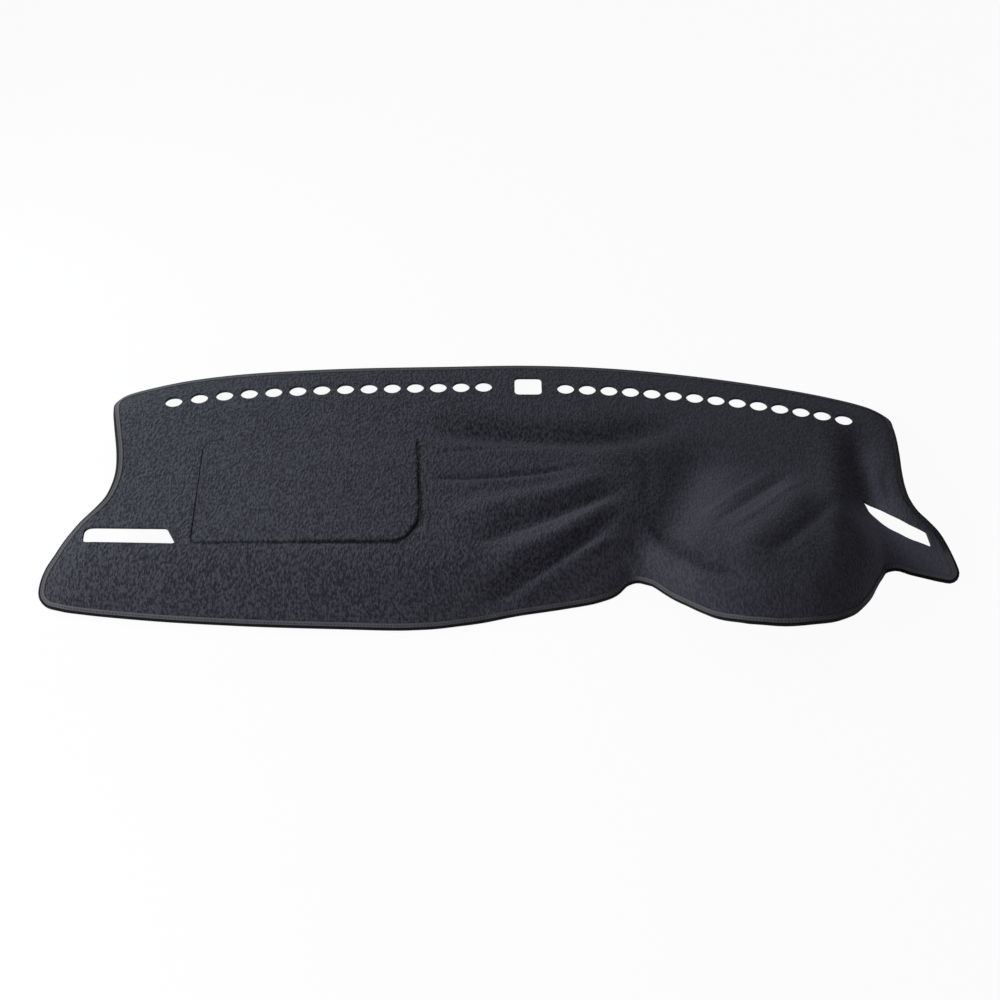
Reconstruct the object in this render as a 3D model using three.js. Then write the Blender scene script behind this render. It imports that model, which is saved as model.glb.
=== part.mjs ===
import * as THREE from 'three';

// Dashboard cover mat for a car with the wheel on the right, seen from the seats.
// Millimetres, +Z up, +X to the right, -Y towards the seats.
// Two pieces: the formed carpet and the tape folded round its whole edge.

// Overall plan of the finished mat, tape included
const MAT_WIDTH = 1412;
const MAT_DEPTH = 670;

// Cloth
const CARPET_THICKNESS = 4.5;
const TAPE_THICKNESS = 1.2;
const TAPE_WIDTH = 9;
const TAPE_GAP = 0.3;
const TAPE_NOSE = 0.9;

// Height of the formed shell
const TOP_SLOPE = 0.1;
const BACK_LIFT = 6;
const BACK_ROLL = 95;
const FRONT_ROLL = 115;
const LEFT_DROOP = 0.35;
const RIGHT_DROOP = 0.5;
const LEFT_DROOP_START = -620;
const RIGHT_DROOP_START = 625;
const DROOP_RUN = 85;

// Hood over the instruments
const HOOD_HEIGHT = 62;
const HOOD_LEFT_FOOT = 205;
const HOOD_LEFT_TOP = 380;
const HOOD_RIGHT_TOP = 440;
const HOOD_RIGHT_FOOT = 605;
const HOOD_BACK_FOOT = 100;
const HOOD_CREST = -200;
const HOOD_LIP_ROLL = 75;
const HOOD_LIP_DROP = 32;
const HOOD_MOUTH_LEFT = 175;
const HOOD_MOUTH_LEFT_RUN = 150;
const HOOD_MOUTH_RIGHT = 520;
const HOOD_MOUTH_RIGHT_RUN = 85;

// Demister openings along the back edge
const DEMISTER_COUNT = 14;
const DEMISTER_WIDTH = 29.5;
const DEMISTER_DEPTH = 31;
const LEFT_ROW_START = -551;
const LEFT_ROW_END = -28;
const LEFT_ROW_INSET = 65;
const RIGHT_ROW_START = 112;
const RIGHT_ROW_END = 573;
const RIGHT_ROW_INSET = 70;
const DEMISTER_DRIFT = 0.045;
const DEMISTER_SEGMENTS = 12;

// Sensor window between the two rows
const WINDOW_CENTRE = 48;
const WINDOW_WIDTH = 46;
const WINDOW_DEPTH = 52;
const WINDOW_INSET = 64;
const WINDOW_CORNER = 9;

// Side vent slots: corners in plan and the rounding of each corner
const LEFT_SLOT = [[-641, -66], [-513, -68], [-494, -105], [-638, -100]];
const LEFT_SLOT_ROUND = [11.2, 7, 4.2, 11.2];
const RIGHT_SLOT = [
  [571, 10], [607, -30], [635, -51], [661, -61], [667, -86], [633, -76], [604, -57], [579, -28],
];
const RIGHT_SLOT_ROUND = [2, 60, 60, 4, 4, 60, 60, 40];

// Slit of the airbag flap, open on three sides: its path, the bend and its width at each point
const FLAP_PATH = [
  [-452, 150], [-476, 146], [-484, 128], [-472, -104], [-150, -101], [-124, -54], [-136, 146],
];
const FLAP_BENDS = [0, 14, 14, 15.4, 20, 24, 0];
const SLIT_LEFT = 1.2;
const SLIT_FRONT = 1.8;
const SLIT_RIGHT = 3;
const SLIT_WIDTHS = [
  SLIT_LEFT, SLIT_LEFT, SLIT_LEFT, SLIT_FRONT, SLIT_RIGHT, SLIT_RIGHT, SLIT_RIGHT,
];
const SLIT_STEP = 27;

// Mesh spacing
const EDGE_STEP = 23;
const FLAT_STEP = 46;
const FORM_STEP = 18;
const SLOT_STEP = 17;

// Outline of the finished mat in plan, drawn on a mat 1412 wide and 670 deep
const PLAN_WIDTH = 1412;
const PLAN_DEPTH = 670;
const SX = MAT_WIDTH / PLAN_WIDTH;
const SY = MAT_DEPTH / PLAN_DEPTH;
const at = (x, y) => new THREE.Vector2(x * SX, y * SY);

const BACK_EDGE = [
  [-654, 262], [-646, 279], [-629, 289], [-591, 304], [-532, 323], [-430, 341], [-264, 354],
  [-97, 359], [49, 362], [195, 354], [339, 333], [481, 302], [560, 279], [618, 256], [643, 241],
  [655, 222],
];
const RIGHT_EDGE = [
  [654, 187], [652, 150], [649, 110], [645, 70], [643, 32], [645, 0], [653, -24], [668, -40],
  [682, -56], [692, -76], [700, -98], [704, -111], [706, -122], [702, -132],
];
const FRONT_EDGE = [
  [692, -137], [678, -135], [657, -130], [632, -123], [610, -116], [594, -119], [582, -136], [566, -168],
  [549, -204], [530, -238], [509, -266], [484, -288], [454, -302], [420, -308], [383, -306],
  [347, -297], [318, -279], [297, -254], [272, -216], [246, -176], [228, -152], [211, -141],
  [196, -146], [178, -163], [150, -177], [97, -190], [30, -203], [-30, -217], [-84, -227],
  [-131, -231], [-239, -229], [-389, -223], [-525, -213], [-626, -201], [-664, -194],
  [-688, -184],
];
const LEFT_EDGE = [
  [-700, -168], [-699, -149], [-692, -130], [-680, -111], [-667, -85], [-652, -54], [-633, -23],
  [-622, 3], [-617, 35], [-617, 70], [-624, 117], [-638, 178], [-650, 232],
];

// Heights follow the distance to the back and front edges, read at each x
const BACK_LINE = [
  [-654, 262], [-629, 289], [-532, 323], [-430, 341], [-264, 354], [-97, 359], [49, 362],
  [195, 354], [339, 333], [481, 302], [560, 279], [618, 256], [655, 224],
];
const FRONT_LINE = [
  [-700, -176], [-664, -194], [-626, -201], [-525, -213], [-389, -223], [-239, -229],
  [-131, -231], [-84, -227], [-30, -217], [30, -203], [97, -190], [150, -177], [178, -163],
  [211, -141], [246, -176], [297, -254], [318, -279], [347, -297], [420, -308], [484, -288],
  [530, -238], [566, -168], [594, -119], [660, -131], [706, -136],
];

// Folds that run from the foot of the hood over the middle of the mat:
// points along the fold, half width and height of its rounded section
const FOLDS = [
  { line: [[-152, 186], [-115, 176], [-32, 162], [66, 152], [148, 150], [228, 166], [328, 199]],
    width: 28, height: -12.6 },
  { line: [[-122, 146], [-42, 134], [58, 126], [138, 124]],
    width: 18, height: 3.9 },
  { line: [[-102, -48], [0, -18], [58, 2], [125, 29], [183, 69]],
    width: 24, height: 9.1 },
  { line: [[-62, -116], [-2, -81], [58, -50], [128, -10], [178, 19], [220, 46]],
    width: 18, height: -10.4 },
  { line: [[-42, -161], [30, -121], [91, -84], [148, -37], [193, 16]],
    width: 18, height: 9.1 },
  { line: [[-72, -216], [-32, -198], [30, -166], [91, -127], [148, -78], [188, -26]],
    width: 16, height: -11.2 },
  { line: [[-22, -204], [30, -180], [91, -140], [138, -109], [180, -70]],
    width: 12, height: 7.8 },
  { line: [[350, 164], [325, 113], [309, 60], [285, -12], [258, -79], [228, -136]],
    width: 46, height: -18.4 },
  { line: [[226, -26], [244, -66], [258, -100], [277, -142], [308, -192], [343, -229], [393, -261]],
    width: 11, height: -10.0 },
  { line: [[503, 34], [468, -13], [414, -105], [368, -165], [328, -204]],
    width: 30, height: 9.2 },
  { line: [[553, 214], [545, 174], [533, 73], [513, -65], [497, -181], [490, -266]],
    width: 26, height: 7.2 },
  { line: [[594, 209], [588, 164], [580, 73], [575, -26], [572, -96], [582, -138]],
    width: 24, height: -11.5 },
];
const FOLD_TAPER = 0.28;

const smooth = (u) => {
  const t = Math.min(1, Math.max(0, u));
  return t * t * (3 - 2 * t);
};

// One height curve read at x, without overshoot between its points
function edgeLine(points) {
  const xs = points.map((p) => p[0] * SX);
  const ys = points.map((p) => p[1] * SY);
  const last = xs.length - 1;
  const rise = xs.slice(1).map((x, i) => (ys[i + 1] - ys[i]) / (x - xs[i]));
  const slope = xs.map((x, i) => {
    if (i === 0) return rise[0];
    if (i === last) return rise[last - 1];
    const a = rise[i - 1];
    const b = rise[i];
    return a * b <= 0 ? 0 : (2 * a * b) / (a + b);
  });
  return (value) => {
    const x = Math.min(xs[last], Math.max(xs[0], value));
    let i = 0;
    while (i < last - 1 && x > xs[i + 1]) i += 1;
    const h = xs[i + 1] - xs[i];
    const t = (x - xs[i]) / h;
    const t2 = t * t;
    const t3 = t2 * t;
    return (2 * t3 - 3 * t2 + 1) * ys[i] + (t3 - 2 * t2 + t) * h * slope[i]
      + (3 * t2 - 2 * t3) * ys[i + 1] + (t3 - t2) * h * slope[i + 1];
  };
}
const backLine = edgeLine(BACK_LINE);
const frontLine = edgeLine(FRONT_LINE);
const BACK_Y = 362 * SY;
const REST_HEIGHT = CARPET_THICKNESS / 2 + TAPE_GAP + TAPE_THICKNESS;

function foldHeight(x, y) {
  let sum = 0;
  for (const fold of FOLDS) {
    const line = fold.line.map((p) => at(p[0], p[1]));
    let total = 0;
    let nearest = Infinity;
    let along = 0;
    for (let i = 0; i + 1 < line.length; i += 1) {
      const a = line[i];
      const b = line[i + 1];
      const length = a.distanceTo(b);
      const ux = (b.x - a.x) / length;
      const uy = (b.y - a.y) / length;
      const t = Math.min(length, Math.max(0, (x - a.x) * ux + (y - a.y) * uy));
      const d = Math.hypot(x - a.x - ux * t, y - a.y - uy * t);
      if (d < nearest) {
        nearest = d;
        along = total + t;
      }
      total += length;
    }
    if (nearest < fold.width * 3) {
      const part = along / total;
      const taper = smooth(part / FOLD_TAPER) * smooth((1 - part) / FOLD_TAPER);
      sum += fold.height * taper * Math.exp(-((nearest / fold.width) ** 2));
    }
  }
  return sum;
}

// Height of the middle of the carpet at a point of the plan
function height(x, y) {
  const topAt = (yy) => REST_HEIGHT + BACK_LIFT + TOP_SLOPE * (BACK_Y - yy);
  const yb = backLine(x);
  const yf = frontLine(x);
  const fromBack = Math.min(1.3, Math.max(0, 1 - (yb - y) / BACK_ROLL));
  const fromFront = Math.min(1.3, Math.max(0, 1 - (y - yf) / FRONT_ROLL));
  const fromLip = Math.min(1.3, Math.max(0, 1 - (y - yf) / HOOD_LIP_ROLL));
  const open = smooth((x / SX - HOOD_MOUTH_LEFT) / HOOD_MOUTH_LEFT_RUN)
    * (1 - smooth((x / SX - HOOD_MOUTH_RIGHT) / HOOD_MOUTH_RIGHT_RUN));
  let z = topAt(y) - (topAt(yb) - REST_HEIGHT) * fromBack ** 2;
  z -= (1 - open) * (topAt(yf) - REST_HEIGHT) * fromFront ** 2;
  const left = 1 - LEFT_DROOP * smooth((LEFT_DROOP_START - x / SX) / DROOP_RUN);
  const right = 1 - RIGHT_DROOP * smooth((x / SX - RIGHT_DROOP_START) / DROOP_RUN);
  z = REST_HEIGHT + (z - REST_HEIGHT) * left * right;
  const across = smooth((x / SX - HOOD_LEFT_FOOT) / (HOOD_LEFT_TOP - HOOD_LEFT_FOOT))
    * (1 - smooth((x / SX - HOOD_RIGHT_TOP) / (HOOD_RIGHT_FOOT - HOOD_RIGHT_TOP)));
  const along = smooth((HOOD_BACK_FOOT - y / SY) / (HOOD_BACK_FOOT - HOOD_CREST));
  z += HOOD_HEIGHT * across * along - HOOD_LIP_DROP * open * fromLip ** 2;
  return z + foldHeight(x, y);
}

function surfacePoint(x, y) {
  return new THREE.Vector3(x, y, height(x, y));
}

function surfaceNormal(x, y) {
  const h = 0.5;
  const dx = (height(x + h, y) - height(x - h, y)) / (2 * h);
  const dy = (height(x, y + h) - height(x, y - h)) / (2 * h);
  return new THREE.Vector3(-dx, -dy, 1).normalize();
}

// Nodes of the outline, closer together where it turns
function outlineNodes() {
  const control = [...BACK_EDGE, ...RIGHT_EDGE, ...FRONT_EDGE, ...LEFT_EDGE]
    .map((p) => new THREE.Vector3(p[0] * SX, p[1] * SY, 0));
  const curve = new THREE.CatmullRomCurve3(control, true, 'centripetal');
  const fine = 3000;
  curve.arcLengthDivisions = fine;
  const total = curve.getLength();
  const tangents = [];
  for (let i = 0; i < fine; i += 1) tangents.push(curve.getTangentAt(i / fine));
  const density = tangents.map((t, i) => {
    let turn = 0;
    for (let k = -8; k < 8; k += 1) {
      turn += tangents[(i + k + fine) % fine].angleTo(tangents[(i + k + 1 + fine) % fine]);
    }
    const bend = turn / (16 * (total / fine));
    return Math.min(1 / 7.5, Math.max(1 / EDGE_STEP, bend / 0.36));
  });
  const sums = [0];
  density.forEach((d) => sums.push(sums[sums.length - 1] + d * (total / fine)));
  const count = Math.round(sums[fine]);
  const nodes = [];
  let j = 0;
  for (let i = 0; i < count; i += 1) {
    const wanted = (i / count) * sums[fine];
    while (sums[j + 1] < wanted) j += 1;
    const u = (j + (wanted - sums[j]) / (sums[j + 1] - sums[j])) / fine;
    const p = curve.getPointAt(u);
    const t = curve.getTangentAt(u);
    nodes.push({ x: p.x, y: p.y, tx: t.x, ty: t.y });
  }
  return nodes;
}

// Step inwards from the outline along the surface
function inward(node, distance) {
  const n = surfaceNormal(node.x, node.y);
  const h = 1;
  const dz = height(node.x + node.tx * h, node.y + node.ty * h)
    - height(node.x - node.tx * h, node.y - node.ty * h);
  const t = new THREE.Vector3(node.tx, node.ty, dz / (2 * h)).normalize();
  const side = new THREE.Vector3().crossVectors(t, n);
  return [node.x + side.x * distance, node.y + side.y * distance];
}

// Closed polygon with rounded corners, as a list of plan points
function roundedPolygon(corners, radii, step) {
  const points = [];
  const n = corners.length;
  const arcs = corners.map((c, i) => {
    const a = corners[(i + n - 1) % n];
    const b = corners[(i + 1) % n];
    const u = a.clone().sub(c).normalize();
    const v = b.clone().sub(c).normalize();
    const half = Math.acos(Math.max(-1, Math.min(1, u.dot(v)))) / 2;
    const room = Math.min(a.distanceTo(c), b.distanceTo(c)) * 0.48;
    const cut = Math.min(radii[i] / Math.tan(half), room);
    return { start: c.clone().addScaledVector(u, cut), end: c.clone().addScaledVector(v, cut), c, half };
  });
  arcs.forEach((arc, i) => {
    const turns = Math.max(2, Math.ceil((Math.PI - 2 * arc.half) / 0.5));
    for (let k = 0; k <= turns; k += 1) {
      const t = k / turns;
      const p = arc.start.clone().multiplyScalar((1 - t) ** 2)
        .addScaledVector(arc.c, 2 * t * (1 - t)).addScaledVector(arc.end, t * t);
      points.push([p.x, p.y]);
    }
    const next = arcs[(i + 1) % n];
    const length = arc.end.distanceTo(next.start);
    const parts = Math.max(1, Math.round(length / step));
    for (let k = 1; k < parts; k += 1) {
      const p = arc.end.clone().lerp(next.start, k / parts);
      points.push([p.x, p.y]);
    }
  });
  return points;
}

// A row's openings stand a little wider apart at its start than at its end
function demisterRow(from, to, inset) {
  const ovals = [];
  for (let i = 0; i < DEMISTER_COUNT; i += 1) {
    const t = i / Math.max(1, DEMISTER_COUNT - 1);
    const x = (from + (to - from) * (t + DEMISTER_DRIFT * t * (1 - t))) * SX;
    const y = backLine(x) - inset;
    const lean = Math.atan2(backLine(x + 5) - backLine(x - 5), 10);
    const oval = [];
    for (let k = 0; k < DEMISTER_SEGMENTS; k += 1) {
      const w = (2 * Math.PI * k) / DEMISTER_SEGMENTS;
      const u = (DEMISTER_WIDTH / 2) * Math.cos(w);
      const v = (DEMISTER_DEPTH / 2) * Math.sin(w);
      oval.push([x + u * Math.cos(lean) - v * Math.sin(lean), y + u * Math.sin(lean) + v * Math.cos(lean)]);
    }
    ovals.push(oval);
  }
  return ovals;
}

function sensorWindow() {
  const x = WINDOW_CENTRE * SX;
  const y = backLine(x) - WINDOW_INSET;
  const w = WINDOW_WIDTH / 2;
  const d = WINDOW_DEPTH / 2;
  const lean = Math.atan2(backLine(x + 5) - backLine(x - 5), 10);
  const corners = [[-w, -d], [w, -d], [w, d], [-w, d]].map(([u, v]) => new THREE.Vector2(
    x + u * Math.cos(lean) - v * Math.sin(lean), y + u * Math.sin(lean) + v * Math.cos(lean)));
  return roundedPolygon(corners, [WINDOW_CORNER, WINDOW_CORNER, WINDOW_CORNER, WINDOW_CORNER], 16);
}

function slot(corners, radii) {
  return roundedPolygon(corners.map((p) => at(p[0], p[1])), radii, SLOT_STEP);
}

// The slit runs down the left side, along the front and up the right side
function flapSlit() {
  const path = FLAP_PATH.map((p) => at(p[0], p[1]));
  const bends = FLAP_BENDS;
  const widths = SLIT_WIDTHS;
  const centre = [];
  path.forEach((c, i) => {
    const a = path[i - 1];
    const b = path[i + 1];
    if (!a || !b) {
      centre.push({ p: c.clone(), w: widths[i] * 0.5 });
    } else {
      const u = a.clone().sub(c).normalize();
      const v = b.clone().sub(c).normalize();
      const cut = Math.min(bends[i], a.distanceTo(c) * 0.48, b.distanceTo(c) * 0.48);
      const start = c.clone().addScaledVector(u, cut);
      const end = c.clone().addScaledVector(v, cut);
      for (let k = 0; k <= 4; k += 1) {
        const t = k / 4;
        const p = start.clone().multiplyScalar((1 - t) ** 2)
          .addScaledVector(c, 2 * t * (1 - t)).addScaledVector(end, t * t);
        centre.push({ p, w: widths[i] });
      }
    }
    if (b) {
      const before = centre[centre.length - 1];
      const nextCut = i + 2 < path.length ? Math.min(bends[i + 1], c.distanceTo(b) * 0.48) : 0;
      const goal = b.clone().addScaledVector(c.clone().sub(b).normalize(), nextCut);
      const parts = Math.max(1, Math.round(before.p.distanceTo(goal) / SLIT_STEP));
      const from = before.p.clone();
      for (let k = 1; k < parts; k += 1) {
        const t = k / parts;
        centre.push({ p: from.clone().lerp(goal, t), w: before.w + (widths[i + 1] - before.w) * t });
      }
    }
  });
  const sides = [[], []];
  centre.forEach((node, i) => {
    const a = centre[Math.max(0, i - 1)].p;
    const b = centre[Math.min(centre.length - 1, i + 1)].p;
    const t = b.clone().sub(a).normalize();
    sides[0].push([node.p.x - t.y * node.w * 0.5, node.p.y + t.x * node.w * 0.5]);
    sides[1].push([node.p.x + t.y * node.w * 0.5, node.p.y - t.x * node.w * 0.5]);
  });
  return [...sides[0], ...sides[1].reverse()];
}

function inside(loop, x, y) {
  let odd = false;
  for (let i = 0, j = loop.length - 1; i < loop.length; j = i, i += 1) {
    const [xi, yi] = loop[i];
    const [xj, yj] = loop[j];
    if ((yi > y) !== (yj > y) && x < ((xj - xi) * (y - yi)) / (yj - yi) + xi) odd = !odd;
  }
  return odd;
}

function distanceTo(loop, x, y) {
  let best = Infinity;
  for (let i = 0, j = loop.length - 1; i < loop.length; j = i, i += 1) {
    const [ax, ay] = loop[j];
    const [bx, by] = loop[i];
    const lx = bx - ax;
    const ly = by - ay;
    const t = Math.min(1, Math.max(0, ((x - ax) * lx + (y - ay) * ly) / (lx * lx + ly * ly)));
    best = Math.min(best, Math.hypot(x - ax - lx * t, y - ay - ly * t));
  }
  return best;
}

// Inner nodes: wide apart on the flat passenger side, close on the rolls, the folds and the hood
function innerNodes(rim, holes) {
  const nodes = [];
  const wide = (x) => {
    const u = x / SX;
    const formed = smooth((u + 190) / 110);
    const end = Math.max(smooth((-585 - u) / 60), formed);
    return FLAT_STEP * 0.72 * (1 - end) + FORM_STEP * end;
  };
  let column = 0;
  for (let x = -700 * SX; x < 700 * SX; x += wide(x)) {
    const yb = backLine(x);
    const yf = frontLine(x);
    const formed = smooth((x / SX + 190) / 110);
    const deep = (y) => {
      const roll = Math.max(smooth((FRONT_ROLL + 20 - (y - yf)) / 40), 0);
      const back = smooth((BACK_ROLL + 10 - (yb - y)) / 30);
      const flat = Math.max(roll * 0.98, back * 0.75, formed);
      return FLAT_STEP * (1 - flat) + FORM_STEP * flat;
    };
    let y = yf - 20 + (column % 2) * FORM_STEP * 0.5;
    while (y < yb + 20) {
      const gap = Math.min(deep(y), wide(x)) * 0.62;
      if (inside(rim, x, y) && distanceTo(rim, x, y) > gap
        && !holes.some((h) => inside(h, x, y) || distanceTo(h, x, y) < gap)) {
        nodes.push([x, y]);
      }
      y += deep(y);
    }
    column += 1;
  }
  return nodes;
}

const area = (a, b, c) => (b.x - a.x) * (c.y - a.y) - (b.y - a.y) * (c.x - a.x);

// Swap the diagonals of neighbouring triangles until the triangulation is even
function evenOut(points, faces, passes) {
  const angle = (o, a, b) => {
    const ux = points[a].x - points[o].x;
    const uy = points[a].y - points[o].y;
    const vx = points[b].x - points[o].x;
    const vy = points[b].y - points[o].y;
    return Math.abs(Math.atan2(ux * vy - uy * vx, ux * vx + uy * vy));
  };
  const size = points.length;
  for (let pass = 0; pass < passes; pass += 1) {
    const edges = new Map();
    faces.forEach((f, k) => {
      for (let i = 0; i < 3; i += 1) {
        const a = f[i];
        const b = f[(i + 1) % 3];
        const key = a < b ? a * size + b : b * size + a;
        if (!edges.has(key)) edges.set(key, []);
        edges.get(key).push([k, f[(i + 2) % 3]]);
      }
    });
    const moved = new Set();
    edges.forEach((owners, key) => {
      if (owners.length !== 2) return;
      const [[k0, c], [k1, d]] = owners;
      if (moved.has(k0) || moved.has(k1)) return;
      const a = Math.floor(key / size);
      const b = key % size;
      if (angle(c, a, b) + angle(d, a, b) <= Math.PI + 1e-6) return;
      const one = area(points[a], points[d], points[c]);
      const two = area(points[b], points[c], points[d]);
      if (one * two <= 0) return;
      faces[k0] = one > 0 ? [a, d, c] : [c, d, a];
      faces[k1] = two > 0 ? [b, c, d] : [d, c, b];
      moved.add(k0);
      moved.add(k1);
    });
    if (moved.size === 0) return;
  }
}

// Triangles over the plan that keep every edge of the loops
function planTriangles(rim, holes, inner) {
  const all = [...rim, ...holes.flat(), ...inner];
  const shift = (i) => 0.002 * (((i * 7919) % 101) / 101 - 0.5);
  const points = all.map((p, i) => new THREE.Vector2(p[0] + shift(i), p[1] + shift(i * 3 + 1)));
  let start = rim.length;
  const loops = holes.map((h) => {
    const part = points.slice(start, start + h.length);
    start += h.length;
    return part;
  });
  const faces = THREE.ShapeUtils.triangulateShape(points.slice(0, rim.length), loops).map((f) => [...f]);
  faces.forEach((f) => {
    if (area(points[f[0]], points[f[1]], points[f[2]]) < 0) f.reverse();
  });
  evenOut(points, faces, 60);
  for (let i = start; i < all.length; i += 1) {
    const p = points[i];
    const k = faces.findIndex((f) => area(points[f[0]], points[f[1]], p) > 0
      && area(points[f[1]], points[f[2]], p) > 0 && area(points[f[2]], points[f[0]], p) > 0);
    if (k >= 0) {
      const [a, b, c] = faces[k];
      faces[k] = [a, b, i];
      faces.push([b, c, i], [c, a, i]);
    }
    if (i % 40 === 0) evenOut(points, faces, 12);
  }
  evenOut(points, faces, 200);
  return { points: all, faces };
}

function toGeometry(positions, indices) {
  const geometry = new THREE.BufferGeometry();
  const flat = new Float32Array(positions.length * 3);
  positions.forEach((p, i) => p.toArray(flat, i * 3));
  geometry.setAttribute('position', new THREE.BufferAttribute(flat, 3));
  geometry.setIndex(indices);
  return geometry;
}

// Carpet: upper face, lower face and the walls along the edge and the openings
function carpetGeometry(edge, rim, holes) {
  const inner = innerNodes(rim, holes);
  const plan = planTriangles(rim, holes, inner);
  const ring = edge.length;
  const nodes = [...edge, ...plan.points];
  const upper = [];
  const lower = [];
  nodes.forEach(([x, y]) => {
    const p = surfacePoint(x, y);
    const n = surfaceNormal(x, y);
    upper.push(p.clone().addScaledVector(n, CARPET_THICKNESS / 2));
    lower.push(p.clone().addScaledVector(n, -CARPET_THICKNESS / 2));
  });
  const total = nodes.length;
  const indices = [];
  const both = (a, b, c) => {
    indices.push(a, b, c, a + total, c + total, b + total);
  };
  for (let i = 0; i < ring; i += 1) {
    const j = (i + 1) % ring;
    both(i, ring + j, j);
    both(i, ring + i, ring + j);
    indices.push(i, j, j + total, i, j + total, i + total);
  }
  plan.faces.forEach((f) => both(f[0] + ring, f[1] + ring, f[2] + ring));
  let start = ring + rim.length;
  holes.forEach((hole) => {
    const n = hole.length;
    let twice = 0;
    for (let i = 0; i < n; i += 1) {
      const j = (i + 1) % n;
      twice += hole[i][0] * hole[j][1] - hole[j][0] * hole[i][1];
    }
    for (let i = 0; i < n; i += 1) {
      const a = start + i;
      const b = start + ((i + 1) % n);
      if (twice > 0) indices.push(a, b, b + total, a, b + total, a + total);
      else indices.push(b, a, a + total, b, a + total, b + total);
    }
    start += n;
  });
  return toGeometry([...upper, ...lower], indices);
}

// Tape: one strip folded over the edge, its section carried round the whole outline
function tapeGeometry(edge, rim) {
  const face = CARPET_THICKNESS / 2 + TAPE_GAP;
  const skin = face + TAPE_THICKNESS;
  const positions = [];
  edge.forEach((e, i) => {
    const p = surfacePoint(e[0], e[1]);
    const q = surfacePoint(rim[i][0], rim[i][1]);
    const n = surfaceNormal(e[0], e[1]);
    const m = surfaceNormal(rim[i][0], rim[i][1]);
    const out = p.clone().sub(q).normalize();
    const add = (base, normal, up, side) => {
      positions.push(base.clone().addScaledVector(normal, up).addScaledVector(out, side));
    };
    add(q, m, skin, 0);
    add(p, n, skin, 0);
    add(p, n, CARPET_THICKNESS * 0.36, TAPE_GAP + TAPE_THICKNESS + TAPE_NOSE);
    add(p, n, -CARPET_THICKNESS * 0.36, TAPE_GAP + TAPE_THICKNESS + TAPE_NOSE);
    add(p, n, -skin, 0);
    add(q, m, -skin, 0);
    add(q, m, -face, 0);
    add(p, n, -face, TAPE_GAP);
    add(p, n, face, TAPE_GAP);
    add(q, m, face, 0);
  });
  const sides = 10;
  const ring = edge.length;
  const indices = [];
  for (let i = 0; i < ring; i += 1) {
    const j = (i + 1) % ring;
    for (let k = 0; k < sides; k += 1) {
      const a = i * sides + k;
      const b = i * sides + ((k + 1) % sides);
      const c = j * sides + k;
      const d = j * sides + ((k + 1) % sides);
      if (k === 0 || k === 6) indices.push(a, c, b, b, c, d);
      else indices.push(a, c, d, a, d, b);
    }
  }
  return toGeometry(positions, indices);
}

const outline = outlineNodes();
const edgeInset = TAPE_GAP + TAPE_THICKNESS + TAPE_NOSE;
const carpetEdge = outline.map((node) => inward(node, edgeInset));
const tapeLine = outline.map((node) => inward(node, edgeInset + TAPE_WIDTH));
const openings = [
  ...demisterRow(LEFT_ROW_START, LEFT_ROW_END, LEFT_ROW_INSET),
  sensorWindow(),
  ...demisterRow(RIGHT_ROW_START, RIGHT_ROW_END, RIGHT_ROW_INSET),
  slot(LEFT_SLOT, LEFT_SLOT_ROUND),
  slot(RIGHT_SLOT, RIGHT_SLOT_ROUND),
  flapSlit(),
];

const carpet = new THREE.Mesh(
  carpetGeometry(carpetEdge, tapeLine, openings),
  new THREE.MeshStandardMaterial({ color: 0x33343a, roughness: 0.95, metalness: 0 }),
);
carpet.name = 'carpet_mat';
const tape = new THREE.Mesh(
  tapeGeometry(carpetEdge, tapeLine),
  new THREE.MeshStandardMaterial({ color: 0x26262b, roughness: 0.85, metalness: 0 }),
);
tape.name = 'edge_binding';

// Origin at the middle of the footprint, on the floor
const bounds = new THREE.Box3();
[carpet, tape].forEach((mesh) => {
  mesh.geometry.computeBoundingBox();
  bounds.union(mesh.geometry.boundingBox);
});
const middle = bounds.getCenter(new THREE.Vector3());
[carpet, tape].forEach((mesh) => mesh.geometry.translate(-middle.x, -middle.y, -bounds.min.z));

const mat = new THREE.Group();
mat.name = 'dashboard_cover_mat';
mat.add(carpet, tape);
export default mat;
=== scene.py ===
"""Dashboard cover mat: formed carpet with a taped edge, on a white studio floor."""

import math

import bmesh
import bpy
import numpy as np
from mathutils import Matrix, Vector
from mathutils.geometry import delaunay_2d_cdt


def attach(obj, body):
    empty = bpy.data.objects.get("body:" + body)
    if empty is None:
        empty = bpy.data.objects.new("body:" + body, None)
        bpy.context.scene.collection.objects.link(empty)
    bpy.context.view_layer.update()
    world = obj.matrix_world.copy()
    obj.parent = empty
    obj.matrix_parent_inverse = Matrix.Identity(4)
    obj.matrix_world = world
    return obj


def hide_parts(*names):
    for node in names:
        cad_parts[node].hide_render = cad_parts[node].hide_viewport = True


bl_info = {
    "name": "Dashboard cover mat",
    "version": (1, 0, 0),
    "blender": (4, 5, 0),
    "location": "3D View > Sidebar > Dash mat",
    "description": "Builds a formed carpet dashboard cover and its taped edge",
    "category": "Object",
}

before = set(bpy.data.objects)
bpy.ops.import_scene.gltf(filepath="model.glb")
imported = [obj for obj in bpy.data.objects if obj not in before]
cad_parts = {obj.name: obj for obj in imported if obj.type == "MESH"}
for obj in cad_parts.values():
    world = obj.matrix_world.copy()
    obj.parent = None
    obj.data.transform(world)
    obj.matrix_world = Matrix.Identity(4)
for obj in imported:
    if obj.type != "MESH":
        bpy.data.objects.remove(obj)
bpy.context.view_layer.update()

# Sizes below are in millimetres in the plan that the mat was drawn in.
# The frame's origin is the middle of the footprint, on the floor.
PLAN_CENTRE = (2.392, 26.628)
PLAN_FLOOR = -0.810

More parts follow.
